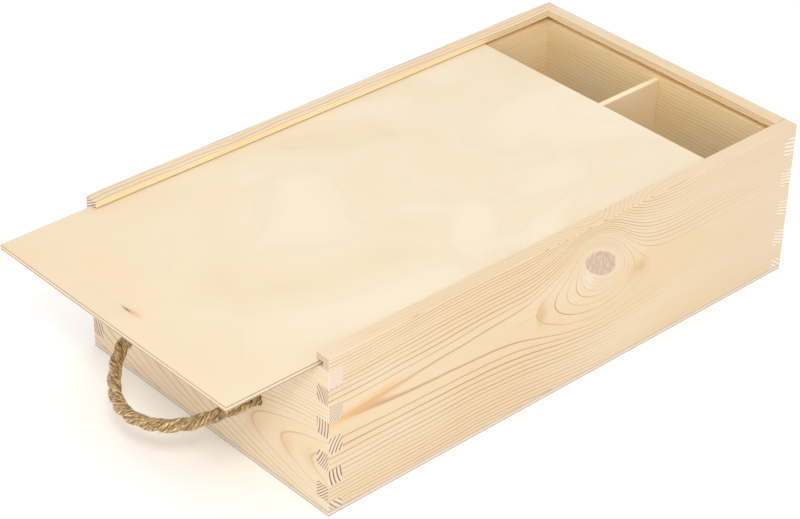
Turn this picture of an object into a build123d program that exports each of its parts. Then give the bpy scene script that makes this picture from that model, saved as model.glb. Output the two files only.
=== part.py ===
from build123d import *
from math import ceil, cos, pi, radians, sin, tan
import os

# Two-bottle wooden wine box with a sliding plywood lid and a rope handle.
# X runs across the box, Y along it with the handle at the -Y end, and Z up.  The origin lies on the
# underside, below the middle of the box.  The lid stands partly open, as a bottle is put in or out.

os.makedirs("parts", exist_ok=True)

# Boards of the frame
box_width = 198.0
box_length = 350.0
board = 9.0
eased_edge = 0.6

# Plywood bottom, glued under the frame
bottom_thickness = 3.0

# Corner joints, counted upwards from the bottom panel
finger = 10.0
finger_pairs = 4
lowest_finger = 5.8
top_finger = 11.2
rim_height = 7.5

# Sliding lid and its groove
lid_thickness = 3.0
groove_height = 3.6
groove_depth = 4.5
lid_side_gap = 1.5
lid_touch_gap = 0.1
lid_end_gap = 0.5
lid_out = 58.0

# Divider between the two bottles
divider_thickness = 4.0
divider_drop = 2.0
dado_depth = 3.0
dado_gap = 0.1

# Jute rope handle
rope_diameter = 7.5
rope_hole_diameter = 9.0
rope_hole_spacing = 86.0
rope_hole_height = 43.5
rope_neck = 5.0

# Overhand knots inside the front board, where the rope is drawn up a little thinner.  Each is a
# trefoil cut open: its lobes reach along the rope and across it, and it is deepest at its crossings.
# Its straight runs are short and its section is flat-sided, so that a knot has few faces.
knot_rope_diameter = 7.0
knot_rope_sides = 12
knot_along = 3.6
knot_across = 4.4
knot_depth = 6.4
knot_lobes_along = 2.55
knot_lobes_across = 2.25
knot_offset = 3.8
knot_wall_gap = 0.3
knot_tail_length = 2.5
knot_first_angle = 56.0
knot_steps = 26
# Where the rope bends into the knot, as (along, below, across) from the knot's middle
knot_lead = [(-13.4, -knot_offset, 0), (-11.5, -3.4, 0.9), (-9.4, -1.6, 2.2)]

# Heights and faces that several pieces share
finger_stack = lowest_finger + (2 * finger_pairs - 1) * finger + top_finger
front_top = bottom_thickness + finger_stack
box_height = front_top + rim_height
inner_half_width = box_width / 2 - board
inner_half_length = box_length / 2 - board
groove_length = box_length - board + groove_depth
dado_width = divider_thickness + 2 * dado_gap
lid_width = 2 * (inner_half_width + groove_depth - lid_side_gap)
lid_length = groove_length - lid_end_gap
lid_rear = inner_half_length + groove_depth - lid_end_gap - lid_out
lid_middle = lid_touch_gap - lid_side_gap
rope_hole_x = rope_hole_spacing / 2

# Bands of height, as (low, high), that the fingers of each board fill
side_bands = []
end_bands = [(bottom_thickness, bottom_thickness + lowest_finger)]
for pair in range(finger_pairs):
    side_low = end_bands[-1][1]
    side_high = side_low + finger
    end_high = front_top if pair == finger_pairs - 1 else side_high + finger
    side_bands.append((side_low, side_high))
    end_bands.append((side_high, end_high))


def cut_sockets(length, bands):
    """Cut, at both ends of a board's outline, the sockets for the other board's fingers."""
    for low, high in bands:
        with Locations((-length / 2, low)):
            Rectangle(board, high - low, align=(Align.MIN, Align.MIN), mode=Mode.SUBTRACT)
        with Locations((length / 2, low)):
            Rectangle(board, high - low, align=(Align.MAX, Align.MIN), mode=Mode.SUBTRACT)


def corner_edges(part):
    """Upright edges at the four outside corners of the box."""
    upright = part.edges().filter_by(Axis.Z)
    return upright.filter_by(
        lambda edge: abs(abs(edge.center().X) - box_width / 2) < eased_edge / 2
        and abs(abs(edge.center().Y) - box_length / 2) < eased_edge / 2
    )


# Right side board: fingers at both ends, and the lid groove, open at the front
with BuildPart() as right_wall:
    with BuildSketch(Plane.YZ.offset(inner_half_width)):
        with Locations((0, bottom_thickness)):
            Rectangle(box_length, box_height - bottom_thickness, align=(Align.CENTER, Align.MIN))
        cut_sockets(box_length, end_bands)
    extrude(amount=board)
    with BuildSketch(Plane.XZ.offset(box_length / 2)):
        with Locations((inner_half_width, front_top)):
            Rectangle(groove_depth, groove_height, align=(Align.MIN, Align.MIN))
    extrude(amount=-groove_length, mode=Mode.SUBTRACT)
    fillet(corner_edges(right_wall), radius=eased_edge)
    rim_edges = right_wall.faces().sort_by(Axis.Z)[-1].edges()
    fillet(rim_edges.filter_by(Axis.Y), radius=eased_edge)
right_wall.part.label = "right_wall"

# Left side board: the same board, handed
with BuildPart() as left_wall:
    mirror(right_wall.part, about=Plane.YZ)
left_wall.part.label = "left_wall"

# Front board: stops below the lid, and carries the rope holes and a dado for the divider
with BuildPart() as front_wall:
    with BuildSketch(Plane.XZ.offset(inner_half_length)):
        with Locations((0, bottom_thickness)):
            Rectangle(box_width, front_top - bottom_thickness, align=(Align.CENTER, Align.MIN))
        cut_sockets(box_width, side_bands)
        with Locations((-rope_hole_x, rope_hole_height), (rope_hole_x, rope_hole_height)):
            Circle(rope_hole_diameter / 2, mode=Mode.SUBTRACT)
    extrude(amount=board)
    with BuildSketch(Plane.XY.offset(bottom_thickness)):
        with Locations((0, -inner_half_length)):
            Rectangle(dado_width, dado_depth, align=(Align.CENTER, Align.MAX))
    extrude(amount=front_top - bottom_thickness, mode=Mode.SUBTRACT)
    fillet(corner_edges(front_wall), radius=eased_edge)
front_wall.part.label = "front_wall"

# Back board: full height, narrowed beside the side boards' top fingers, with the lid groove
with BuildPart() as back_wall:
    with BuildSketch(Plane.XZ.offset(-box_length / 2)):
        with Locations((0, bottom_thickness)):
            Rectangle(box_width, front_top - bottom_thickness, align=(Align.CENTER, Align.MIN))
        cut_sockets(box_width, side_bands)
        with Locations((0, front_top)):
            Rectangle(2 * inner_half_width, rim_height, align=(Align.CENTER, Align.MIN))
    extrude(amount=board)
    with BuildSketch(Plane.XY.offset(bottom_thickness)):
        with Locations((0, inner_half_length)):
            Rectangle(dado_width, dado_depth, align=(Align.CENTER, Align.MIN))
    extrude(amount=box_height - bottom_thickness, mode=Mode.SUBTRACT)
    with BuildSketch(Plane.XY.offset(front_top)):
        with Locations((0, inner_half_length)):
            Rectangle(2 * inner_half_width, groove_depth, align=(Align.CENTER, Align.MIN))
    extrude(amount=groove_height, mode=Mode.SUBTRACT)
    fillet(corner_edges(back_wall), radius=eased_edge)
    outer_rim = back_wall.faces().sort_by(Axis.Z)[-1].edges().sort_by(Axis.Y)[-1]
    fillet(outer_rim, radius=eased_edge)
back_wall.part.label = "back_wall"

# Bottom panel, flush with the outside of the frame
with BuildPart() as bottom_panel:
    with BuildSketch(Plane.XY):
        Rectangle(box_width, box_length)
    extrude(amount=bottom_thickness)
    fillet(corner_edges(bottom_panel), radius=eased_edge)
bottom_panel.part.label = "bottom_panel"

# Divider, let into the dadoes of the front and back boards
with BuildPart() as divider:
    with BuildSketch(Plane.XY.offset(bottom_thickness)):
        Rectangle(divider_thickness, 2 * (inner_half_length + dado_depth - dado_gap))
    extrude(amount=front_top - divider_drop - bottom_thickness)
divider.part.label = "divider"

# Lid: closed, its front edge is flush with the front board and its rear edge in the back groove.
# It is loose between its grooves, and lies against the left one.
with BuildPart() as lid:
    with BuildSketch(Plane.XY.offset(front_top)):
        with Locations((lid_middle, lid_rear)):
            Rectangle(lid_width, lid_length, align=(Align.CENTER, Align.MAX))
    extrude(amount=lid_thickness)
lid.part.label = "lid"


def bend_radii(points, share=0.45):
    """Radius of the arc at each inner point, as large as its shorter run allows."""
    radii = []
    for before, here, after in zip(points, points[1:], points[2:]):
        run_in = Vector(*here) - Vector(*before)
        run_out = Vector(*after) - Vector(*here)
        half_turn = radians(run_in.get_angle(run_out)) / 2
        radii.append(share * min(run_in.length, run_out.length) / tan(half_turn))
    return radii


def sharpest_turn(points):
    """Largest angle, in degrees, between two neighbouring runs."""
    turns = []
    for before, here, after in zip(points, points[1:], points[2:]):
        turns.append((Vector(*here) - Vector(*before)).get_angle(Vector(*after) - Vector(*here)))
    return max(turns)


def least_gap(route, diameter):
    """Least clear gap between stretches of a rope that lie over three diameters apart along it."""
    count = 200
    points = [route.position_at(index / count) for index in range(count + 1)]
    apart = ceil(3 * diameter * count / route.length)
    distances = [
        (points[first] - points[second]).length
        for first in range(count + 1)
        for second in range(first + apart, count + 1)
    ]
    return min(distances) - diameter


# Rope loop outside the front board, from the right neck to the middle and on to the left neck.
# Each point is (nearer the middle, out from the board, down), counted from the right rope hole.
half_loop = [
    (0, rope_neck, 0),
    (0, 12.5, 0),
    (2.5, 22, 1.2),
    (8.5, 31, 5),
    (16, 38.5, 8.5),
    (26, 45.5, 10.5),
    (37.5, 49.5, 11),
]
right_half = [
    (rope_hole_x - inward, -box_length / 2 - outward, rope_hole_height - down)
    for inward, outward, down in half_loop
]
loop_points = right_half + [(-x, y, z) for x, y, z in reversed(right_half)]
loop_radii = bend_radii(loop_points)
with BuildPart() as handle_rope:
    with BuildLine():
        loop_route = FilletPolyline(*loop_points, radius=loop_radii)
    with BuildSketch(Plane(origin=loop_route @ 0, z_dir=loop_route % 0)):
        Circle(rope_diameter / 2)
    sweep()
handle_rope.part.label = "handle_rope"

# Rope necks: straight through the holes, and a little way out, where the rope bends as it swings
with BuildPart() as right_rope_neck:
    with BuildSketch(Plane.XZ.offset(inner_half_length)):
        with Locations((rope_hole_x, rope_hole_height)):
            Circle(rope_diameter / 2)
    extrude(amount=board + rope_neck)
right_rope_neck.part.label = "right_rope_neck"

with BuildPart() as left_rope_neck:
    mirror(right_rope_neck.part, about=Plane.YZ)
left_rope_neck.part.label = "left_rope_neck"


def knot_point(turn):
    """Point of the overhand knot as (along the rope, below its middle, across), by its angle."""
    return (
        -knot_along * (sin(turn) + knot_lobes_along * sin(2 * turn)),
        knot_across * (cos(turn) - knot_lobes_across * cos(2 * turn)),
        -knot_depth * sin(3 * turn),
    )


# Overhand knot on the right end of the rope: in from the board, round the knot, out to the tail
knot_turns = [
    radians(180 + knot_first_angle + step * (360 - 2 * knot_first_angle) / knot_steps)
    for step in range(knot_steps + 1)
]
knot_core = [knot_point(turn) for turn in knot_turns]
knot_tail = [(-along, below, -across) for along, below, across in reversed(knot_lead)]
knot_half_length = knot_tail[1][0] + knot_rope_diameter / 2
knot_middle = -inner_half_length + knot_wall_gap + knot_half_length
knot_path = (
    [(-inner_half_length - knot_middle, -knot_offset, 0)]
    + knot_lead
    + knot_core
    + knot_tail
    + [(knot_tail[-1][0] + knot_tail_length, -knot_offset, 0)]
)
knot_points = [
    (rope_hole_x + across, knot_middle + along, rope_hole_height - knot_offset - below)
    for along, below, across in knot_path
]
with BuildPart() as right_rope_knot:
    with BuildLine():
        knot_route = Polyline(*knot_points)
    with BuildSketch(Plane(origin=knot_route @ 0, z_dir=knot_route % 0)):
        RegularPolygon(knot_rope_diameter / 2, knot_rope_sides)
    sweep(transition=Transition.RIGHT)
right_rope_knot.part.label = "right_rope_knot"

with BuildPart() as left_rope_knot:
    mirror(right_rope_knot.part, about=Plane.YZ)
left_rope_knot.part.label = "left_rope_knot"

pieces = [
    right_wall,
    left_wall,
    front_wall,
    back_wall,
    bottom_panel,
    divider,
    lid,
    handle_rope,
    right_rope_neck,
    left_rope_neck,
    right_rope_knot,
    left_rope_knot,
]
for piece in pieces:
    export_step(piece.part, f"parts/{piece.part.label}.step")

print("loop bend radii:", [round(radius, 1) for radius in loop_radii])
print("sharpest turn in a knot:", round(sharpest_turn(knot_points)), "degrees")
print("least gap in a knot:", round(least_gap(knot_route, knot_rope_diameter), 2))
round_section = pi * rope_diameter**2 / 4
knot_section = knot_rope_sides / 2 * (knot_rope_diameter / 2) ** 2 * sin(2 * pi / knot_rope_sides)
for route, section, rope in (
    (loop_route, round_section, handle_rope),
    (knot_route, knot_section, right_rope_knot),
):
    share = rope.part.volume / (section * route.length)
    print(f"{rope.part.label}: {route.length:.1f} long, volume over section times length {share:.4f}")
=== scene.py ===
from math import cos, pi, radians, sin

import bmesh
import bpy
import numpy as np
from mathutils import Matrix, Vector


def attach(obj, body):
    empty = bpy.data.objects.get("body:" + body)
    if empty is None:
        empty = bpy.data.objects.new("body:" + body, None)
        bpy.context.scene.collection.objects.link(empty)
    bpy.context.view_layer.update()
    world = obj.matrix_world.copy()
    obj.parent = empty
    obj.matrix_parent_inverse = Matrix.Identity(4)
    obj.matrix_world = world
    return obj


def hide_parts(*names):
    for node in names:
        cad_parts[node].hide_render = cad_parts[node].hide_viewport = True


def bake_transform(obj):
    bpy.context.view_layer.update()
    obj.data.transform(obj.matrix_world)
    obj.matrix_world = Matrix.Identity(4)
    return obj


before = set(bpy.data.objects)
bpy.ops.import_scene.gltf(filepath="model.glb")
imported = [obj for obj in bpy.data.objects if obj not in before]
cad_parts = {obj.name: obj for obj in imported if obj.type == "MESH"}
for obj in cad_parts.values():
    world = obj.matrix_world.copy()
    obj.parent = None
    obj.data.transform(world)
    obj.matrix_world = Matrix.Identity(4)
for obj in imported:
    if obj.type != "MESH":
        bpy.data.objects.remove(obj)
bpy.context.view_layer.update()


# ---------------------------------------------------------------------------------------------
# Bottom panel: a sheet of 3 mm birch plywood, three plies, glued under the frame and sanded flush.
# Its faces are rotary-cut veneer with faint, wide, cloudy figure; its edges show the plies.
def sanded_colour(red, green, blue):
    """Linear colour of a finish, given in 0 to 255 steps as it looks in the bright studio."""
    own_share = 0.945
    steps = []
    for level in (red / 255, green / 255, blue / 255):
        level *= own_share
        steps.append(level / 12.92 if level <= 0.04045 else ((level + 0.055) / 1.055) ** 2.4)
    return (*steps, 1.0)


def open_group(name, inputs, outputs):
    """An empty node group with named sockets, and its input and output nodes."""
    group = bpy.data.node_groups.new(name, "ShaderNodeTree")
    for socket_name, kind, value in inputs:
        socket = group.interface.new_socket(socket_name, in_out="INPUT", socket_type=kind)
        if value is not None:
            socket.default_value = value
    for socket_name, kind in outputs:
        group.interface.new_socket(socket_name, in_out="OUTPUT", socket_type=kind)
    return group, group.nodes.new("NodeGroupInput"), group.nodes.new("NodeGroupOutput")


def feed(tree, socket, value):
    """Join a value or another node's socket to a socket."""
    if isinstance(value, bpy.types.NodeSocket):
        tree.links.new(value, socket)
    else:
        socket.default_value = value


def sum_of(tree, operation, first, second=0.0, third=0.0, clamp=False):
    """One step of arithmetic."""
    node = tree.nodes.new("ShaderNodeMath")
    node.operation = operation
    node.use_clamp = clamp
    for socket, value in zip(node.inputs, (first, second, third)):
        feed(tree, socket, value)
    return node.outputs[0]


def eased(tree, value, low, high, start=0.0, end=1.0):
    """A value brought smoothly from one range to another."""
    node = tree.nodes.new("ShaderNodeMapRange")
    node.interpolation_type = "SMOOTHSTEP"
    for name, given in (
        ("Value", value),
        ("From Min", low),
        ("From Max", high),
        ("To Min", start),
        ("To Max", end),
    ):
        feed(tree, node.inputs[name], given)
    return node.outputs["Result"]


def stained(tree, amount, under, over, blend="MIX"):
    """One colour laid over another by an amount."""
    node = tree.nodes.new("ShaderNodeMix")
    node.data_type = "RGBA"
    node.blend_type = blend
    feed(tree, node.inputs["Factor"], amount)
    feed(tree, node.inputs["A"], under)
    feed(tree, node.inputs["B"], over)
    return node.outputs["Result"]


def point_at(tree, across, along, up):
    """A vector from three values."""
    node = tree.nodes.new("ShaderNodeCombineXYZ")
    for socket, value in zip(node.inputs, (across, along, up)):
        feed(tree, socket, value)
    return node.outputs[0]


def mottle(tree, where, scale, detail=2.0, roughness=0.5, distortion=0.0):
    """Soft random mottling, from 0 to 1."""
    node = tree.nodes.new("ShaderNodeTexNoise")
    feed(tree, node.inputs["Vector"], where)
    feed(tree, node.inputs["Scale"], scale)
    node.inputs["Detail"].default_value = detail
    node.inputs["Roughness"].default_value = roughness
    node.inputs["Distortion"].default_value = distortion
    return node.outputs["Fac"]


def place_group(tree, group, **values):
    """A shared group put into a material, with its own values."""
    node = tree.nodes.new("ShaderNodeGroup")
    node.node_tree = group
    for name, value in values.items():
        feed(tree, node.inputs[name.replace("_", " ")], value)
    return node.outputs


def new_wood(name, roughness):
    """A material with its shader, its object coordinates split up, and its surface direction."""
    material = bpy.data.materials.new(name)
    material.use_nodes = True
    tree = material.node_tree
    shader = tree.nodes["Principled BSDF"]
    shader.inputs["Roughness"].default_value = roughness
    shader.inputs["Specular IOR Level"].default_value = 0.3
    place = tree.nodes.new("ShaderNodeTexCoord")
    spread = tree.nodes.new("ShaderNodeSeparateXYZ")
    tree.links.new(place.outputs["Object"], spread.inputs[0])
    facing = tree.nodes.new("ShaderNodeSeparateXYZ")
    tree.links.new(place.outputs["Normal"], facing.inputs[0])
    return material, tree, shader, spread.outputs, facing.outputs


def raise_grain(tree, shader, height, depth):
    """A shallow relief on the surface, in metres."""
    bump = tree.nodes.new("ShaderNodeBump")
    bump.inputs["Strength"].default_value = 1.0
    bump.inputs["Distance"].default_value = depth
    feed(tree, bump.inputs["Height"], height)
    tree.links.new(bump.outputs["Normal"], shader.inputs["Normal"])


def dress(node, material):
    """Give a node of the frame one material in place of its own."""
    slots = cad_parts[node].data.materials
    slots.clear()
    slots.append(material)


# Rotary-cut birch veneer: cloudy bands along the grain, very faint ring contours and tiny pores.
birch_veneer, taken, given = open_group(
    "birch veneer",
    [
        ("Across", "NodeSocketFloat", 0.0),
        ("Along", "NodeSocketFloat", 0.0),
        ("Sheet", "NodeSocketFloat", 0.0),
        ("Pale", "NodeSocketColor", sanded_colour(236, 222, 197)),
        ("Deep", "NodeSocketColor", sanded_colour(231, 212, 180)),
        ("Blush", "NodeSocketColor", sanded_colour(237, 212, 183)),
    ],
    [("Color", "NodeSocketColor"), ("Height", "NodeSocketFloat")],
)
cloud_place = point_at(
    birch_veneer,
    sum_of(birch_veneer, "MULTIPLY", taken.outputs["Across"], 9.0),
    sum_of(birch_veneer, "MULTIPLY", taken.outputs["Along"], 7.0),
    taken.outputs["Sheet"],
)
cloud = mottle(birch_veneer, cloud_place, 1.0, detail=2.0, roughness=0.45, distortion=1.1)
contour = sum_of(birch_veneer, "FRACT", sum_of(birch_veneer, "MULTIPLY", cloud, 6.0))
contour_line = eased(birch_veneer, contour, 0.62, 0.97)
blush_place = point_at(
    birch_veneer,
    sum_of(birch_veneer, "MULTIPLY", taken.outputs["Across"], 21.0),
    sum_of(birch_veneer, "MULTIPLY", taken.outputs["Along"], 12.0),
    sum_of(birch_veneer, "ADD", taken.outputs["Sheet"], 7.3),
)
blush = mottle(birch_veneer, blush_place, 1.0, detail=3.0, roughness=0.55, distortion=0.4)
pore_place = point_at(
    birch_veneer,
    sum_of(birch_veneer, "MULTIPLY", taken.outputs["Across"], 1500.0),
    sum_of(birch_veneer, "MULTIPLY", taken.outputs["Along"], 110.0),
    taken.outputs["Sheet"],
)
pores = mottle(birch_veneer, pore_place, 1.0, detail=2.0)
veneer_tone = stained(
    birch_veneer,
    eased(birch_veneer, cloud, 0.3, 0.7),
    taken.outputs["Pale"],
    taken.outputs["Deep"],
)
veneer_tone = stained(
    birch_veneer,
    eased(birch_veneer, blush, 0.52, 0.8, 0.0, 0.6),
    veneer_tone,
    taken.outputs["Blush"],
)
veneer_tone = stained(
    birch_veneer,
    sum_of(birch_veneer, "MULTIPLY", contour_line, 0.055),
    veneer_tone,
    taken.outputs["Deep"],
    blend="MULTIPLY",
)
veneer_tone = stained(
    birch_veneer,
    eased(birch_veneer, pores, 0.6, 0.8, 0.0, 0.12),
    veneer_tone,
    taken.outputs["Deep"],
    blend="MULTIPLY",
)
birch_veneer.links.new(veneer_tone, given.inputs["Color"])
birch_veneer.links.new(pores, given.inputs["Height"])

# Edge of a plywood sheet: thin plies of long grain and end grain in turn, with dark glue lines.
ply_edge, taken, given = open_group(
    "plywood edge",
    [
        ("Depth", "NodeSocketFloat", 0.0),
        ("Along", "NodeSocketFloat", 0.0),
        ("Thickness", "NodeSocketFloat", 0.003),
        ("Light Ply", "NodeSocketColor", sanded_colour(242, 228, 204)),
        ("Dark Ply", "NodeSocketColor", sanded_colour(198, 168, 136)),
    ],
    [("Color", "NodeSocketColor")],
)
ply_part = sum_of(ply_edge, "DIVIDE", taken.outputs["Depth"], taken.outputs["Thickness"])
ply_middle = sum_of(
    ply_edge,
    "MULTIPLY",
    eased(ply_edge, ply_part, 0.29, 0.40),
    eased(ply_edge, ply_part, 0.60, 0.71, 1.0, 0.0),
)
fibre_place = point_at(
    ply_edge,
    sum_of(ply_edge, "MULTIPLY", taken.outputs["Along"], 900.0),
    sum_of(ply_edge, "MULTIPLY", taken.outputs["Depth"], 2500.0),
    0.0,
)
fibres = mottle(ply_edge, fibre_place, 1.0, detail=2.0)
ply_tone = stained(ply_edge, ply_middle, taken.outputs["Dark Ply"], taken.outputs["Light Ply"])
ply_tone = stained(
    ply_edge,
    eased(ply_edge, fibres, 0.45, 0.75, 0.0, 0.35),
    ply_tone,
    taken.outputs["Dark Ply"],
    blend="MULTIPLY",
)
ply_edge.links.new(ply_tone, given.inputs["Color"])

bottom_wood, tree, shader, spread, facing = new_wood("bottom plywood", 0.6)
veneer = place_group(tree, birch_veneer, Across=spread["X"], Along=spread["Y"], Sheet=3.0)
# The edge's plies are real, but their greyer, low-contrast tones are painted shade along the floor
# line.
plies = place_group(
    tree,
    ply_edge,
    Depth=spread["Z"],
    Along=sum_of(tree, "ADD", spread["X"], spread["Y"]),
    Light_Ply=sanded_colour(238, 228, 214),
    Dark_Ply=sanded_colour(206, 190, 174),
)
on_face = eased(tree, sum_of(tree, "ABSOLUTE", facing["Z"]), 0.6, 0.8)
tree.links.new(
    stained(tree, on_face, plies["Color"], veneer["Color"]), shader.inputs["Base Color"]
)
raise_grain(tree, shader, veneer["Height"], 0.00003)
dress("bottom_panel", bottom_wood)

# ---------------------------------------------------------------------------------------------
# Front, back and side boards: planed pine, 9 mm thick, glued up with 10 mm finger joints.
# The wood is grown in three dimensions: rings round a heart line, parted by knots, cut by the faces.
# All four boards have their heart side inwards, as the slants of the end grain show.
pine_rings, taken, given = open_group(
    "pine growth rings",
    [
        ("Along", "NodeSocketFloat", 0.0),
        ("Above Heart", "NodeSocketFloat", 0.0),
        ("Heart Distance", "NodeSocketFloat", 0.03),
        ("Lower Share", "NodeSocketFloat", 0.74),
        ("First Ring", "NodeSocketFloat", 0.0327),
        ("Ring Width", "NodeSocketFloat", 0.0024),
        ("Tightening", "NodeSocketFloat", 0.62),
        ("Waver", "NodeSocketFloat", 0.0012),
        ("Pull", "NodeSocketFloat", 0.0),
        ("Tree", "NodeSocketFloat", 0.0),
    ],
    [
        ("Year", "NodeSocketFloat"),
        ("Ring Shade", "NodeSocketFloat"),
        ("Fibre", "NodeSocketFloat"),
        ("Drift", "NodeSocketFloat"),
    ],
)
sway_place = point_at(
    pine_rings,
    sum_of(pine_rings, "MULTIPLY", taken.outputs["Above Heart"], 30.0),
    sum_of(pine_rings, "MULTIPLY", taken.outputs["Along"], 16.0),
    taken.outputs["Tree"],
)
sway = mottle(pine_rings, sway_place, 1.0, detail=3.0, roughness=0.45)
above = sum_of(
    pine_rings,
    "MULTIPLY_ADD",
    sum_of(pine_rings, "SUBTRACT", sway, 0.5),
    sum_of(pine_rings, "MULTIPLY", taken.outputs["Waver"], 4.0),
    taken.outputs["Above Heart"],
)
# The rings lie wider apart below the heart line than above it
half_sum = sum_of(pine_rings, "MULTIPLY_ADD", taken.outputs["Lower Share"], 0.5, 0.5)
half_gap = sum_of(pine_rings, "SUBTRACT", 1.0, half_sum)
above = sum_of(
    pine_rings,
    "MULTIPLY_ADD",
    sum_of(pine_rings, "ABSOLUTE", above),
    half_gap,
    sum_of(pine_rings, "MULTIPLY", above, half_sum),
)
ring_radius = sum_of(
    pine_rings,
    "SQRT",
    sum_of(
        pine_rings,
        "MULTIPLY_ADD",
        above,
        above,
        sum_of(
            pine_rings,
            "MULTIPLY",
            taken.outputs["Heart Distance"],
            taken.outputs["Heart Distance"],
        ),
    ),
)
past_first = sum_of(
    pine_rings,
    "SUBTRACT",
    sum_of(pine_rings, "SUBTRACT", ring_radius, taken.outputs["Pull"]),
    taken.outputs["First Ring"],
)
ring = sum_of(pine_rings, "DIVIDE", past_first, taken.outputs["Ring Width"])
# The tree grew slower later on, so the outer rings are narrower
outer_ring = sum_of(pine_rings, "MAXIMUM", ring, 0.0)
year = sum_of(pine_rings, "MULTIPLY_ADD", outer_ring, taken.outputs["Tightening"], ring)
tint = pine_rings.nodes.new("ShaderNodeTexWhiteNoise")
tint.noise_dimensions = "1D"
feed(
    pine_rings,
    tint.inputs["W"],
    sum_of(pine_rings, "ADD", sum_of(pine_rings, "FLOOR", year), taken.outputs["Tree"]),
)
fibre_place = point_at(
    pine_rings,
    sum_of(pine_rings, "MULTIPLY", taken.outputs["Above Heart"], 1500.0),
    sum_of(pine_rings, "MULTIPLY", taken.outputs["Along"], 40.0),
    sum_of(pine_rings, "MULTIPLY", taken.outputs["Heart Distance"], 1500.0),
)
drift_place = point_at(
    pine_rings,
    sum_of(pine_rings, "MULTIPLY", taken.outputs["Above Heart"], 30.0),
    sum_of(pine_rings, "MULTIPLY", taken.outputs["Along"], 8.0),
    sum_of(pine_rings, "ADD", taken.outputs["Tree"], 4.1),
)
pine_rings.links.new(year, given.inputs["Year"])
pine_rings.links.new(tint.outputs["Value"], given.inputs["Ring Shade"])
pine_rings.links.new(
    mottle(pine_rings, fibre_place, 1.0, detail=2.0, roughness=0.6), given.inputs["Fibre"]
)
pine_rings.links.new(mottle(pine_rings, drift_place, 1.0, detail=3.0), given.inputs["Drift"])

# A knot: how far it pulls the rings aside, its round heart, and the wood close round it.
pine_knot, taken, given = open_group(
    "pine knot",
    [
        ("Along", "NodeSocketFloat", 0.0),
        ("Across", "NodeSocketFloat", 0.0),
        ("Knot Along", "NodeSocketFloat", 0.0),
        ("Knot Across", "NodeSocketFloat", 0.0),
        ("Back Reach", "NodeSocketFloat", 0.02),
        ("Front Reach", "NodeSocketFloat", 0.02),
        ("Low Reach", "NodeSocketFloat", 0.01),
        ("High Reach", "NodeSocketFloat", 0.01),
        ("Strength", "NodeSocketFloat", 1.0),
        ("Lean", "NodeSocketFloat", 0.0),
    ],
    [
        ("Pull", "NodeSocketFloat"),
        ("Core", "NodeSocketFloat"),
        ("Collar", "NodeSocketFloat"),
    ],
)
gap_along = sum_of(pine_knot, "SUBTRACT", taken.outputs["Along"], taken.outputs["Knot Along"])
gap_across = sum_of(
    pine_knot,
    "MULTIPLY_ADD",
    gap_along,
    taken.outputs["Lean"],
    sum_of(pine_knot, "SUBTRACT", taken.outputs["Across"], taken.outputs["Knot Across"]),
)
offsets = []
for gap, near, far in (
    (gap_along, "Back Reach", "Front Reach"),
    (gap_across, "Low Reach", "High Reach"),
):
    reach = sum_of(
        pine_knot,
        "MULTIPLY_ADD",
        sum_of(pine_knot, "GREATER_THAN", gap, 0.0),
        sum_of(pine_knot, "SUBTRACT", taken.outputs[far], taken.outputs[near]),
        taken.outputs[near],
    )
    gap = sum_of(pine_knot, "DIVIDE", gap, reach)
    offsets.append(sum_of(pine_knot, "MULTIPLY", gap, gap))
knot_far = sum_of(pine_knot, "ADD", offsets[0], offsets[1])
knot_fall = sum_of(pine_knot, "EXPONENT", sum_of(pine_knot, "MULTIPLY", knot_far, -0.5))
ragged = mottle(
    pine_knot,
    point_at(
        pine_knot,
        sum_of(pine_knot, "MULTIPLY", taken.outputs["Along"], 260.0),
        sum_of(pine_knot, "MULTIPLY", taken.outputs["Across"], 260.0),
        0.0,
    ),
    1.0,
    detail=4.0,
)
knot_distance = sum_of(
    pine_knot, "MULTIPLY_ADD", ragged, 0.3, sum_of(pine_knot, "SQRT", knot_far)
)
pine_knot.links.new(
    sum_of(pine_knot, "MULTIPLY", knot_fall, taken.outputs["Strength"]), given.inputs["Pull"]
)
pine_knot.links.new(
    eased(pine_knot, knot_distance, 1.08, 1.2, 1.0, 0.0), given.inputs["Core"]
)
pine_knot.links.new(
    eased(pine_knot, knot_distance, 1.2, 1.75, 1.0, 0.0), given.inputs["Collar"]
)


def latewood(tree, year, onset, full):
    """The dark line that ends each ring, from 0 to 1."""
    season = sum_of(tree, "FRACT", year)
    return sum_of(
        tree,
        "MULTIPLY",
        eased(tree, season, onset, full),
        eased(tree, season, 0.95, 1.0, 1.0, 0.0),
    )


def knot_mask(tree, spread, along, values):
    """A knot's group placed on a board: its centre, its four reaches, its strength and its lean."""
    centre_along, centre_up, back, front, low, high, strength, lean = values
    return place_group(
        tree,
        pine_knot,
        Along=spread[along],
        Across=spread["Z"],
        Knot_Along=centre_along,
        Knot_Across=centre_up,
        Back_Reach=back,
        Front_Reach=front,
        Low_Reach=low,
        High_Reach=high,
        Strength=strength,
        Lean=lean,
    )


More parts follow.
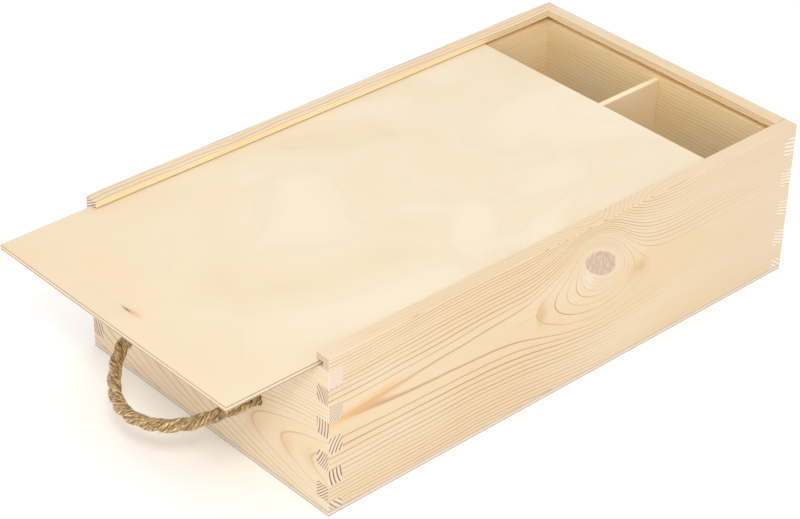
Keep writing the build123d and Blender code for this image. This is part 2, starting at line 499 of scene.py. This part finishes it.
def pine_board(
    node,
    along,
    outward,
    face,
    heart,
    rings,
    bends=(),
    knots=(),
    hearts=(),
    spots_and_shade=(),
    quiet=(),
    rim_lines=0.3,
    plain_end=None,
    tones=None,
):
    """Give a board's node its pine.

    outward is the axis and the sign that its outer face looks along, and face its distance.
    heart is the heart line's height, its distance behind the outer face, and its rise along it.
    bends lift the heart line between two places, knots part the rings, and hearts are their cores.
    The spots are resin-coloured, save one broad patch of painted shade at the right board's back end;
    quiet fades the rings between two places, and rim_lines is the share of them that shows on the
    planed top edge.
    """
    tones = tones or {}
    pale = tones.get("pale", sanded_colour(232, 211, 181))
    warm = tones.get("warm", sanded_colour(229, 203, 166))
    late = tones.get("late", sanded_colour(184, 143, 104))
    end_wood = tones.get("end", sanded_colour(236, 216, 190))
    end_late = tones.get("end_late", sanded_colour(132, 98, 70))
    material, tree, shader, spread, facing = new_wood(node + " pine", 0.62)
    axis, sign = outward
    heart_up, heart_behind, heart_rise = heart
    depth_in = sum_of(tree, "SUBTRACT", face, sum_of(tree, "MULTIPLY", spread[axis], sign))
    heart_line = heart_up
    for start, end, amount in bends:
        heart_line = sum_of(
            tree, "ADD", heart_line, eased(tree, spread[along], start, end, 0.0, amount)
        )
    pull = 0.0
    for values in knots:
        pull = sum_of(tree, "ADD", pull, knot_mask(tree, spread, along, values)["Pull"])
    grain = place_group(
        tree,
        pine_rings,
        Along=spread[along],
        Above_Heart=sum_of(tree, "SUBTRACT", spread["Z"], heart_line),
        Heart_Distance=sum_of(
            tree,
            "SUBTRACT",
            sum_of(tree, "MULTIPLY_ADD", spread[along], heart_rise, heart_behind),
            depth_in,
        ),
        Pull=pull,
        **rings,
    )
    # Inner faces and grooves look lighter and warmer in the photograph than the outer faces
    # This mask is painted light: lighter, warmer tones stand in for light reaching the inner faces
    # and the grooves.
    painted_inner_light = sum_of(
        tree,
        "MULTIPLY",
        eased(tree, depth_in, 0.0030, 0.0042),
        eased(tree, spread["Z"], 0.0966, 0.0972, 1.0, 0.0),
    )
    pale = stained(tree, painted_inner_light, pale, sanded_colour(260, 237, 193))
    warm = stained(tree, painted_inner_light, warm, sanded_colour(257, 228, 175))
    late = stained(tree, painted_inner_light, late, sanded_colour(236, 196, 142))
    tone = stained(tree, eased(tree, grain["Drift"], 0.3, 0.7), pale, warm)
    tone = stained(tree, eased(tree, grain["Fibre"], 0.5, 0.85, 0.0, 0.22), tone, warm, "MULTIPLY")
    # Where the rings are wide the dark wood is a small share of them, and further out a large one
    line = sum_of(
        tree,
        "MULTIPLY",
        latewood(tree, grain["Year"], eased(tree, grain["Year"], 0.0, 2.5, 0.87, 0.64), 0.93),
        sum_of(tree, "MULTIPLY_ADD", grain["Ring Shade"], 0.55, 0.45),
    )
    line = sum_of(tree, "MULTIPLY", line, eased(tree, grain["Drift"], 0.3, 0.7, 0.7, 1.1))
    line = sum_of(tree, "MULTIPLY", line, eased(tree, facing["Z"], 0.7, 0.9, 1.0, rim_lines))
    # Rings squeezed round a knot are darker
    squeezed = sum_of(tree, "MULTIPLY_ADD", pull, 25.0, 1.0)
    line = sum_of(tree, "MULTIPLY", line, squeezed, clamp=True)
    for start, end, low, high, loss in quiet:
        hushed = sum_of(
            tree,
            "MULTIPLY",
            eased(tree, spread[along], start, end, 0.0, loss),
            eased(tree, spread["Z"], low, high, 1.0, 0.0),
        )
        line = sum_of(tree, "MULTIPLY", line, sum_of(tree, "SUBTRACT", 1.0, hushed))
    # Spots are laid over the tone; the broad patch at the right board's back end among them is
    # painted shade.
    for *values, colour in spots_and_shade:
        glow = knot_mask(tree, spread, along, values)["Pull"]
        tone = stained(tree, glow, tone, colour)
        late = stained(tree, glow, late, colour)
    tone = stained(tree, line, tone, late)
    for values in hearts:
        core = knot_mask(tree, spread, along, values)
        streaks = mottle(
            tree,
            point_at(
                tree,
                sum_of(tree, "MULTIPLY", spread[along], 900.0),
                sum_of(tree, "MULTIPLY", spread["Z"], 260.0),
                2.0,
            ),
            1.0,
            detail=3.0,
        )
        heartwood = stained(
            tree,
            eased(tree, streaks, 0.35, 0.7),
            sanded_colour(192, 164, 142),
            sanded_colour(220, 196, 172),
        )
        tone = stained(
            tree, sum_of(tree, "MULTIPLY", core["Collar"], 0.5), tone, sanded_colour(228, 214, 190)
        )
        tone = stained(tree, sum_of(tree, "MULTIPLY", core["Core"], 0.92), tone, heartwood)
    end_year = sum_of(tree, "MULTIPLY", grain["Year"], 1.15)
    end_line = latewood(tree, end_year, 0.46, 0.72)
    end_pale = eased(tree, sum_of(tree, "FRACT", end_year), 0.02, 0.3, 1.0, 0.0)
    end_speckle = eased(tree, grain["Fibre"], 0.42, 0.75, 0.0, 0.6)
    end_tone = stained(tree, end_speckle, end_wood, sanded_colour(222, 192, 158))
    end_tone = stained(
        tree, sum_of(tree, "MULTIPLY", end_pale, 0.7), end_tone, sanded_colour(242, 230, 212)
    )
    end_tone = stained(
        tree,
        sum_of(
            tree,
            "MULTIPLY",
            end_line,
            sum_of(tree, "MULTIPLY_ADD", grain["Drift"], 0.8, 0.42),
        ),
        end_tone,
        end_late,
    )
    if plain_end is not None:
        end_tone = stained(
            tree,
            eased(tree, spread["Z"], plain_end, plain_end + 0.0006),
            end_tone,
            sanded_colour(228, 208, 190),
        )
    on_end = eased(tree, sum_of(tree, "ABSOLUTE", facing[along]), 0.75, 0.9)
    tree.links.new(stained(tree, on_end, tone, end_tone), shader.inputs["Base Color"])
    raise_grain(tree, shader, sum_of(tree, "ADD", line, grain["Fibre"]), 0.00005)
    dress(node, material)


# Right board: the rings close in a V near its front end and run round one large knot
pine_board(
    "right_wall",
    along="Y",
    outward=("X", 1.0),
    face=0.099,
    heart=(0.058, 0.032, -0.0075),
    rings={"Tree": 1.7, "First_Ring": 0.0333, "Lower_Share": 0.8},
    bends=[(-0.160, -0.060, 0.001), (-0.075, 0.040, -0.008), (0.060, 0.190, -0.002)],
    knots=[
        (0.017, 0.073, 0.024, 0.019, 0.020, 0.050, 0.014, 0.0),
        (0.017, 0.073, 0.010, 0.010, 0.009, 0.009, 0.018, 0.4),
    ],
    hearts=[(0.0172, 0.0709, 0.0126, 0.0122, 0.0077, 0.0077, 1.0, 0.42)],
    spots_and_shade=[
        (-0.160, 0.0580, 0.0140, 0.0120, 0.0020, 0.0022, 0.80, 0.0, sanded_colour(226, 178, 112)),
        (-0.139, 0.0614, 0.0130, 0.0130, 0.0026, 0.0022, 0.60, -0.08, sanded_colour(230, 186, 122)),
        (-0.0275, 0.0568, 0.0016, 0.0030, 0.0046, 0.0052, 0.80, 0.0, sanded_colour(212, 174, 126)),
        (0.0510, 0.0545, 0.0060, 0.0024, 0.0028, 0.0036, 0.75, 0.0, sanded_colour(212, 176, 130)),
        (0.0085, 0.0665, 0.0030, 0.0030, 0.0050, 0.0050, 0.60, 0.48, sanded_colour(232, 224, 212)),
        # This broad patch is painted shade, darkening the board towards its back end.
        (0.1650, 0.0450, 0.0500, 0.0500, 0.0600, 0.0600, 0.50, 0.0, sanded_colour(222, 203, 174)),
    ],
    quiet=[(-0.01, 0.06, 0.054, 0.068, 0.8), (0.04, 0.13, 0.2, 0.3, 0.45)],
)
pine_board(
    "left_wall",
    along="Y",
    outward=("X", -1.0),
    face=0.099,
    heart=(0.035, 0.041, 0.012),
    rings={"Tree": 9.2, "First_Ring": 0.039, "Ring_Width": 0.0026},
    rim_lines=1.0,
    knots=[(-0.070, 0.030, 0.019, 0.022, 0.012, 0.010, 0.013, 0.2)],
    hearts=[(-0.070, 0.030, 0.0050, 0.0056, 0.0042, 0.0042, 1.0, 0.2)],
)
# Front board: three nested V's open towards its right end
pine_board(
    "front_wall",
    along="X",
    outward=("Y", -1.0),
    face=0.175,
    heart=(0.0285, 0.0388, -0.115),
    rings={
        "Tree": 5.4,
        "First_Ring": 0.0345,
        "Ring_Width": 0.0027,
        "Lower_Share": 0.95,
        "Tightening": 0.6,
        "Waver": 0.0014,
    },
    bends=[(0.030, 0.090, 0.0020)],
    spots_and_shade=[
        (0.0400, 0.0265, 0.0055, 0.0060, 0.0055, 0.0075, 0.42, 0.0, sanded_colour(224, 180, 148)),
        (0.0660, 0.0268, 0.0028, 0.0036, 0.0036, 0.0040, 0.50, 0.0, sanded_colour(228, 180, 130)),
        (0.0840, 0.0280, 0.0022, 0.0030, 0.0040, 0.0045, 0.35, 0.0, sanded_colour(208, 180, 134)),
    ],
    plain_end=0.0788,
    # The pale and warm tones are set lighter than the other boards': painted light on the front
    # board.
    tones={
        "pale": sanded_colour(238, 220, 190),
        "warm": sanded_colour(236, 212, 178),
        "late": sanded_colour(200, 166, 128),
    },
)
pine_board(
    "back_wall",
    along="X",
    outward=("Y", 1.0),
    face=0.175,
    heart=(-0.030, 0.026, 0.03),
    rings={
        "Tree": 13.1,
        "First_Ring": 0.034,
        "Ring_Width": 0.0031,
        "Tightening": 0.3,
        "Waver": 0.0018,
    },
    tones={
        "late": sanded_colour(208, 176, 140),
        "end": sanded_colour(242, 228, 208),
        "end_late": sanded_colour(206, 182, 156),
    },
)

# The back board's dado runs up through the rim: filling pieces close it above the divider
divider_top, groove_floor, groove_roof, box_top = 0.0880, 0.0900, 0.0936, 0.0975
dado_sides = (-0.0021, 0.0021)
dado_mouth_and_end = (0.166, 0.169)
for filling, low, high in (
    ("below", divider_top, groove_floor),
    ("above", groove_roof, box_top),
):
    filling_mesh = bpy.data.meshes.new("rim filling " + filling + " the lid groove")
    corners = [(x, y, z) for x in dado_sides for y in dado_mouth_and_end for z in (low, high)]
    sides = [(0, 1, 3, 2), (4, 6, 7, 5), (0, 4, 5, 1), (2, 3, 7, 6), (0, 2, 6, 4), (1, 5, 7, 3)]
    filling_mesh.from_pydata(corners, [], sides)
    filling_mesh.materials.append(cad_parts["back_wall"].data.materials[0])
    rim_filling = bpy.data.objects.new("rim_filling_" + filling + "_groove", filling_mesh)
    bpy.context.scene.collection.objects.link(rim_filling)
    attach(rim_filling, "box")

# ---------------------------------------------------------------------------------------------
# Divider: a strip of 4 mm birch plywood on edge, held in dadoes cut in the front and back boards.
# Its top edge shows the plies, a little darker than the faces.
divider_wood, tree, shader, spread, facing = new_wood("divider plywood", 0.6)
# Its faces and top edge get lighter, warmer tones than the lid's plywood: painted light standing in
# for light inside the box.
veneer = place_group(
    tree,
    birch_veneer,
    Across=spread["Z"],
    Along=spread["Y"],
    Sheet=11.0,
    Pale=sanded_colour(253, 229, 190),
    Deep=sanded_colour(250, 219, 170),
    Blush=sanded_colour(252, 221, 178),
)
divider_thickness = 0.004
plies = place_group(
    tree,
    ply_edge,
    Depth=sum_of(tree, "ADD", spread["X"], divider_thickness / 2),
    Along=sum_of(tree, "ADD", spread["Z"], spread["Y"]),
    Thickness=divider_thickness,
    Light_Ply=sanded_colour(252, 236, 206),
    Dark_Ply=sanded_colour(246, 222, 180),
)
on_face = eased(tree, sum_of(tree, "ABSOLUTE", facing["X"]), 0.6, 0.8)
tree.links.new(
    stained(tree, on_face, plies["Color"], veneer["Color"]), shader.inputs["Base Color"]
)
raise_grain(tree, shader, veneer["Height"], 0.00003)
dress("divider", divider_wood)

# ---------------------------------------------------------------------------------------------
# Lid: a panel of 3 mm birch plywood that slides in the grooves of the side boards.
# A thin dark slit of a pip knot lies near its front edge, with a warm flame beside it.
lid_wood, tree, shader, spread, facing = new_wood("lid plywood", 0.5)
veneer = place_group(tree, birch_veneer, Across=spread["X"], Along=spread["Y"], Sheet=23.0)
plies = place_group(
    tree,
    ply_edge,
    Depth=sum_of(tree, "SUBTRACT", spread["Z"], groove_floor),
    Along=sum_of(tree, "ADD", spread["X"], spread["Y"]),
)
lid_tone = veneer["Color"]
for blot_x, blot_y, half_x, half_y, strength, colour in (
    (0.0200, -0.2350, 0.1200, 0.0450, 0.60, sanded_colour(229, 206, 168)),
    (-0.0420, -0.2050, 0.0110, 0.0060, 0.50, sanded_colour(238, 206, 172)),
    (-0.0120, -0.2110, 0.0080, 0.0045, 0.35, sanded_colour(236, 204, 170)),
    (0.0022, -0.2182, 0.0032, 0.0015, 0.75, sanded_colour(236, 186, 146)),
    (-0.0020, -0.2188, 0.0042, 0.0010, 0.50, sanded_colour(210, 172, 132)),
    (-0.0040, -0.2193, 0.0023, 0.00036, 0.95, sanded_colour(96, 68, 46)),
):
    blot = place_group(
        tree,
        pine_knot,
        Along=spread["X"],
        Across=spread["Y"],
        Knot_Along=blot_x,
        Knot_Across=blot_y,
        Back_Reach=half_x,
        Front_Reach=half_x,
        Low_Reach=half_y,
        High_Reach=half_y,
        Strength=strength,
    )
    lid_tone = stained(tree, blot["Pull"], lid_tone, colour)
on_face = eased(tree, sum_of(tree, "ABSOLUTE", facing["Z"]), 0.6, 0.8)
tree.links.new(stained(tree, on_face, plies["Color"], lid_tone), shader.inputs["Base Color"])
raise_grain(tree, shader, veneer["Height"], 0.00001)
dress("lid", lid_wood)

# ---------------------------------------------------------------------------------------------
# Rope handle: about 7.5 mm three-strand jute, through two holes in the front board.
# The strands are laid left-handed round the middle of the rope and shed fine loose fibres.
rope_width = 0.0075
hole_x, hole_z = 0.043, 0.0435
front_inside, front_outside, neck_end = -0.166, -0.175, -0.180
right_route = [
    (hole_x, front_inside, hole_z),
    (hole_x, front_outside, hole_z),
    (hole_x, neck_end, hole_z),
    (0.0430, -0.1875, 0.0435),
    (0.0405, -0.1970, 0.0423),
    (0.0345, -0.2060, 0.0385),
    (0.0270, -0.2135, 0.0350),
    (0.0170, -0.2205, 0.0330),
    (0.0055, -0.2245, 0.0325),
]
rope_points = right_route + [(-x, y, z) for x, y, z in reversed(right_route)]


def smooth_line(name, points, resolution):
    """The points of one smooth curve drawn through a short list of guide points."""
    curve = bpy.data.curves.new(name, "CURVE")
    curve.dimensions = "3D"
    spline = curve.splines.new("NURBS")
    spline.points.add(len(points) - 1)
    for guide, point in zip(spline.points, points):
        guide.co = (*point, 1.0)
    spline.order_u = 3
    spline.use_endpoint_u = True
    spline.resolution_u = resolution
    carrier = bpy.data.objects.new(name, curve)
    bpy.context.scene.collection.objects.link(carrier)
    bpy.context.view_layer.update()
    line = bpy.data.meshes.new_from_object(carrier)
    found = np.array([vertex.co[:] for vertex in line.vertices])
    bpy.data.objects.remove(carrier)
    bpy.data.meshes.remove(line)
    keep = np.r_[True, np.linalg.norm(np.diff(found, axis=0), axis=1) > 1e-6]
    return found[keep]


def even_line(points, step):
    """The same line with its points a fixed step apart."""
    lengths = np.r_[0, np.cumsum(np.linalg.norm(np.diff(points, axis=0), axis=1))]
    count = max(8, int(round(lengths[-1] / step)))
    places = np.linspace(0, lengths[-1], count + 1)
    return np.column_stack([np.interp(places, lengths, points[:, axis]) for axis in range(3)])


def frames_along(points):
    """A direction and two sideways directions at each point, carried along without twist."""
    ahead = np.gradient(points, axis=0)
    ahead /= np.linalg.norm(ahead, axis=1)[:, None]
    side = np.cross(ahead[0], (0.0, 0.0, 1.0))
    side /= np.linalg.norm(side)
    sides = []
    for direction in ahead:
        side = side - direction * (side @ direction)
        side /= np.linalg.norm(side)
        sides.append(side)
    sides = np.array(sides)
    return ahead, sides, np.cross(ahead, sides)


def tube_round(mesh, uv_layer, line, radii, sides_count, outward, uv_start, closed_ends=True):
    """Add a tube that follows a line, with its length and its angle as UVs.

    Its seam lies on the side away from the outward directions.
    """
    ahead = np.gradient(line, axis=0)
    ahead /= np.linalg.norm(ahead, axis=1)[:, None]
    outward = outward - ahead * np.sum(outward * ahead, axis=1)[:, None]
    outward /= np.linalg.norm(outward, axis=1)[:, None]
    across = np.cross(ahead, outward)
    lengths = np.r_[0, np.cumsum(np.linalg.norm(np.diff(line, axis=0), axis=1))]
    rings = []
    for index, point in enumerate(line):
        ring = []
        for corner in range(sides_count):
            angle = 2 * pi * corner / sides_count
            offset = sin(angle) * across[index] - cos(angle) * outward[index]
            ring.append(mesh.verts.new(point + radii[index] * offset))
        rings.append(ring)
    for index in range(len(line) - 1):
        for corner in range(sides_count):
            after = (corner + 1) % sides_count
            face = mesh.faces.new(
                (
                    rings[index][corner],
                    rings[index][after],
                    rings[index + 1][after],
                    rings[index + 1][corner],
                )
            )
            face.smooth = True
            around = (corner / sides_count, (corner + 1) / sides_count)
            spots = (
                (lengths[index], around[0]),
                (lengths[index], around[1]),
                (lengths[index + 1], around[1]),
                (lengths[index + 1], around[0]),
            )
            for loop, (far, turned) in zip(face.loops, spots):
                loop[uv_layer].uv = (uv_start + far * 100, turned)
    if closed_ends:
        mesh.faces.new(list(reversed(rings[0])))
        mesh.faces.new(rings[-1])


def lay_rope(name, line, width, pitch, seed, loose_fibres, frayed_end=False):
    """Three twisted strands round a line, with loose fibres, as one mesh."""
    chance = np.random.default_rng(seed)
    mesh = bmesh.new()
    uv_layer = mesh.loops.layers.uv.new("UVMap")
    ahead, side, up = frames_along(line)
    lengths = np.r_[0, np.cumsum(np.linalg.norm(np.diff(line, axis=0), axis=1))]
    strand_radius = width * 0.280
    offset = width * 0.220
    for strand in range(3):
        angle = -2 * pi * (lengths / pitch + strand / 3)
        outward = np.cos(angle)[:, None] * side + np.sin(angle)[:, None] * up
        swell = 1 + 0.03 * np.sin(lengths * 310 + strand * 2.1) + chance.normal(0, 0.008, len(line))
        tube_round(
            mesh,
            uv_layer,
            line + offset * outward,
            strand_radius * swell,
            16,
            outward,
            strand * 37.0,
        )
    for fibre in range(loose_fibres):
        start = chance.uniform(0.02, 0.98) * lengths[-1]
        index = min(max(int(np.searchsorted(lengths, start)), 1), len(line) - 2)
        angle = chance.uniform(0, 2 * pi)
        out = cos(angle) * side[index] + sin(angle) * up[index]
        across = -sin(angle) * side[index] + cos(angle) * up[index]
        root = line[index] + out * width * 0.45
        reach = chance.uniform(0.0003, 0.0010)
        bow = chance.uniform(1.4, 2.8)
        lean = ahead[index] * chance.uniform(-0.0045, 0.0045)
        lean = lean + across * chance.uniform(-0.0015, 0.0015)
        hair = np.array(
            [root + lean * share + out * reach * sin(share * bow) for share in (0.0, 0.3, 0.6, 1.0)]
        )
        tube_round(
            mesh,
            uv_layer,
            hair,
            np.full(4, 0.00005),
            3,
            np.repeat(out[None], 4, axis=0),
            chance.uniform(0, 300),
            False,
        )
    if frayed_end:
        for fibre in range(90):
            angle = chance.uniform(0, 2 * pi)
            out = cos(angle) * side[-1] + sin(angle) * up[-1]
            far = width * 0.46 * chance.uniform(0, 1) ** 0.5
            root = line[-1] + out * far - ahead[-1] * 0.0003
            reach = chance.uniform(0.0006, 0.0019)
            splay = out * reach * chance.uniform(0.0, 0.5) * far / width
            hair = np.array(
                [
                    root + ahead[-1] * reach * share + splay * share**2
                    for share in (0.0, 0.4, 0.7, 1.0)
                ]
            )
            tube_round(
                mesh,
                uv_layer,
                hair,
                np.full(4, 0.00009),
                3,
                np.repeat(out[None], 4, axis=0),
                chance.uniform(0, 300),
            )
    data = bpy.data.meshes.new(name)
    mesh.normal_update()
    mesh.to_mesh(data)
    mesh.free()
    rope = bpy.data.objects.new(name, data)
    bpy.context.scene.collection.objects.link(rope)
    return rope


rope_pitch = 0.036
rope_line = even_line(smooth_line("rope guide", rope_points, 24), 0.0009)
rope = lay_rope("jute_rope_handle", rope_line, rope_width, rope_pitch, 4, 260)

jute, tree, shader, spread, facing = new_wood("laid jute", 0.85)
strand_place = tree.nodes.new("ShaderNodeUVMap")
strand_place.uv_map = "UVMap"
strand = tree.nodes.new("ShaderNodeSeparateXYZ")
tree.links.new(strand_place.outputs["UV"], strand.inputs[0])
# The yarns turn inside each strand, against the lay, so their fibres run nearly along the rope
turned_place = sum_of(tree, "MULTIPLY_ADD", strand.outputs["X"], -0.22, strand.outputs["Y"])
yarn_place = point_at(
    tree,
    sum_of(tree, "MULTIPLY", strand.outputs["X"], 1.5),
    sum_of(tree, "MULTIPLY", turned_place, 24.0),
    0.0,
)
yarn = mottle(tree, yarn_place, 1.0, detail=3.0, roughness=0.6)
bundle_place = point_at(
    tree,
    sum_of(tree, "MULTIPLY", strand.outputs["X"], 0.8),
    sum_of(tree, "MULTIPLY", turned_place, 9.0),
    5.0,
)
bundle = mottle(tree, bundle_place, 1.0, detail=2.0)
fleck_place = point_at(
    tree,
    sum_of(tree, "MULTIPLY", strand.outputs["X"], 3.5),
    sum_of(tree, "MULTIPLY", turned_place, 16.0),
    9.0,
)
fleck = mottle(tree, fleck_place, 1.0, detail=2.0)
jute_tone = stained(
    tree,
    eased(tree, yarn, 0.40, 0.60),
    sanded_colour(124, 90, 48),
    sanded_colour(214, 182, 130),
)
jute_tone = stained(
    tree, eased(tree, bundle, 0.42, 0.7, 0.0, 0.5), jute_tone, sanded_colour(150, 116, 70)
)
jute_tone = stained(
    tree, eased(tree, fleck, 0.54, 0.64, 0.0, 0.9), jute_tone, sanded_colour(246, 226, 180)
)
jute_tone = stained(
    tree, eased(tree, fleck, 0.34, 0.43, 0.85, 0.0), jute_tone, sanded_colour(84, 56, 28)
)
# Painted shade darkens the creases between the strands
from_crown = sum_of(tree, "ABSOLUTE", sum_of(tree, "SUBTRACT", strand.outputs["Y"], 0.5))
jute_tone = stained(
    tree, eased(tree, from_crown, 0.18, 0.36, 0.0, 0.8), jute_tone, sanded_colour(88, 64, 34)
)
tree.links.new(jute_tone, shader.inputs["Base Color"])
shader.inputs["Sheen Weight"].default_value = 0.15
shader.inputs["Sheen Roughness"].default_value = 0.5
raise_grain(tree, shader, sum_of(tree, "MULTIPLY_ADD", bundle, 0.6, yarn), 0.0004)
rope.data.materials.append(jute)
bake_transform(rope)
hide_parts("handle_rope", "right_rope_neck", "left_rope_neck")

# Overhand knots inside the front board keep the rope from pulling out; each ends in a short tail.
# They are tied in the same rope, drawn up a little thinner: a trefoil cut open, straight at its ends.
knot_width = 0.0070
knot_along, knot_across, knot_depth = 0.0036, 0.0044, 0.0064
knot_lobes_along, knot_lobes_across = 2.55, 2.25
knot_offset = 0.0038
knot_middle = -0.1507
knot_first_angle, knot_steps = 56.0, 26
knot_tail_length = 0.0025
knot_lead = [(-0.0134, -knot_offset, 0.0), (-0.0115, -0.0034, 0.0009), (-0.0094, -0.0016, 0.0022)]


def knot_point(turn):
    """Point of the overhand knot as (along the rope, below its middle, across), by its angle."""
    return (
        -knot_along * (sin(turn) + knot_lobes_along * sin(2 * turn)),
        knot_across * (cos(turn) - knot_lobes_across * cos(2 * turn)),
        -knot_depth * sin(3 * turn),
    )


knot_turn = (360 - 2 * knot_first_angle) / knot_steps
knot_path = [(front_inside - knot_middle, -knot_offset, 0.0)] + knot_lead
for step in range(knot_steps + 1):
    knot_path.append(knot_point(radians(180 + knot_first_angle + step * knot_turn)))
knot_path += [(-along, below, -across) for along, below, across in reversed(knot_lead)]
knot_path.append((knot_path[-1][0] + knot_tail_length, -knot_offset, 0.0))
for name, hand, seed in (("right", 1, 11), ("left", -1, 12)):
    guide = [
        (hand * (hole_x + across), knot_middle + along, hole_z - knot_offset - below)
        for along, below, across in knot_path
    ]
    knot_line = even_line(smooth_line(name + " knot guide", guide, 12), 0.0007)
    tied = lay_rope(name + "_overhand_knot", knot_line, knot_width, rope_pitch, seed, 130, True)
    tied.data.materials.append(jute)
    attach(tied, "box")
    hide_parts(name + "_rope_knot")

# ---------------------------------------------------------------------------------------------
# Studio: the box stands on a plain white floor under broad, soft light, with a faint shadow.
# The camera looks down on the handle end's right corner, as a catalogue picture does.
floor_mesh = bpy.data.meshes.new("studio floor")
floor_mesh.from_pydata([(-6, -6, 0), (6, -6, 0), (6, 6, 0), (-6, 6, 0)], [], [(0, 1, 2, 3)])
floor = bpy.data.objects.new("studio_floor", floor_mesh)
bpy.context.scene.collection.objects.link(floor)
floor_white = bpy.data.materials.new("studio white")
floor_white.use_nodes = True
floor_shader = floor_white.node_tree.nodes["Principled BSDF"]
floor_shader.inputs["Base Color"].default_value = (0.96, 0.96, 0.96, 1.0)
floor_shader.inputs["Roughness"].default_value = 0.9
floor_shader.inputs["Specular IOR Level"].default_value = 0.1
floor_mesh.materials.append(floor_white)

studio_air = bpy.data.worlds.new("studio air")
bpy.context.scene.world = studio_air
studio_air.use_nodes = True
studio_air.node_tree.nodes["Background"].inputs["Color"].default_value = (1.0, 1.0, 1.0, 1.0)
studio_air.node_tree.nodes["Background"].inputs["Strength"].default_value = 1.0


def soft_box(name, place, aim, width, power):
    """A large square studio light aimed at a point."""
    data = bpy.data.lights.new(name, "AREA")
    data.size = width
    data.energy = power
    light = bpy.data.objects.new(name, data)
    bpy.context.scene.collection.objects.link(light)
    light.location = place
    light.rotation_euler = (Vector(aim) - Vector(place)).to_track_quat("-Z", "Y").to_euler()


box_middle = (0, 0, 0.05)
soft_box("overhead soft box", (-0.1, -0.3, 2.2), box_middle, 1.5, 2.8)
soft_box("front right soft box", (1.25, -1.1, 1.75), box_middle, 0.4, 15.5)
soft_box("front wide soft box", (1.3, -1.9, 1.3), box_middle, 2.4, 9)

# Camera: worked out from the box's corners in the photograph.
turned, looking_down, tilted = radians(46.98), radians(33.23), radians(1.35)
forward = Vector(
    (-sin(turned) * cos(looking_down), cos(turned) * cos(looking_down), -sin(looking_down))
)
level_right = Vector((cos(turned), sin(turned), 0.0))
level_up = level_right.cross(forward)
camera_right = cos(tilted) * level_right + sin(tilted) * level_up
camera_up = -sin(tilted) * level_right + cos(tilted) * level_up
camera_data = bpy.data.cameras.new("catalogue camera")
camera_data.sensor_fit = "HORIZONTAL"
camera_data.sensor_width = 36.0
camera_data.lens = 107.97
camera_data.clip_start = 0.05
camera_data.clip_end = 50.0
camera = bpy.data.objects.new("catalogue_camera", camera_data)
bpy.context.scene.collection.objects.link(camera)
placed = Matrix((camera_right, camera_up, -forward)).transposed().to_4x4()
placed.translation = Vector((0.809207, -0.792550, 0.772316))
camera.matrix_world = placed
bpy.context.scene.camera = camera
bpy.context.scene.view_settings.view_transform = "Standard"
